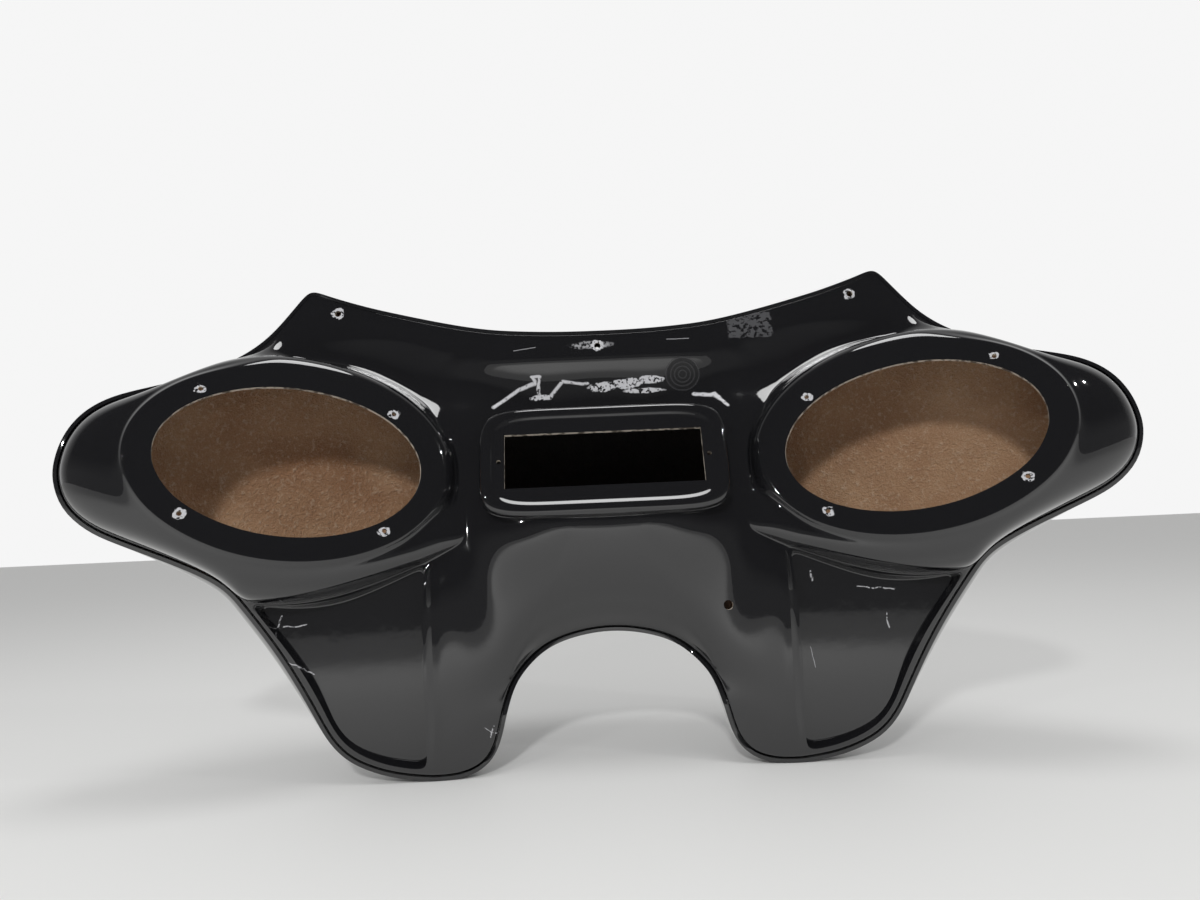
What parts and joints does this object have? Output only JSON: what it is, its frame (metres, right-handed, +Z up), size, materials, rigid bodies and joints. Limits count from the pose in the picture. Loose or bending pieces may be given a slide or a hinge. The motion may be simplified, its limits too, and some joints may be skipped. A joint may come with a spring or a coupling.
{
  "type": "motorcycle fairing",
  "caption": "Handlebar fairing of two bonded fibreglass mouldings: a rider-side panel with oval speaker openings, a radio bay and a fork arch, and a domed front shell.",
  "frame": {"origin": "centre of the radio opening, on the face the radio's bracket lies on", "axes": "+X to the right as the rider sees it, +Y forward, +Z up with the rim plane upright"},
  "size_m": [0.928, 0.2454, 0.4643],
  "materials": {
    "inner_panel": "gloss black gelcoat on fibreglass, scratched and chipped",
    "outer_shell": "gloss black gelcoat outside, raw brown chopped-mat fibreglass inside"
  },
  "bodies": {
    "root": {"inner_panel": "inner_panel", "outer_shell": "outer_shell"}
  },
  "joints": []
}
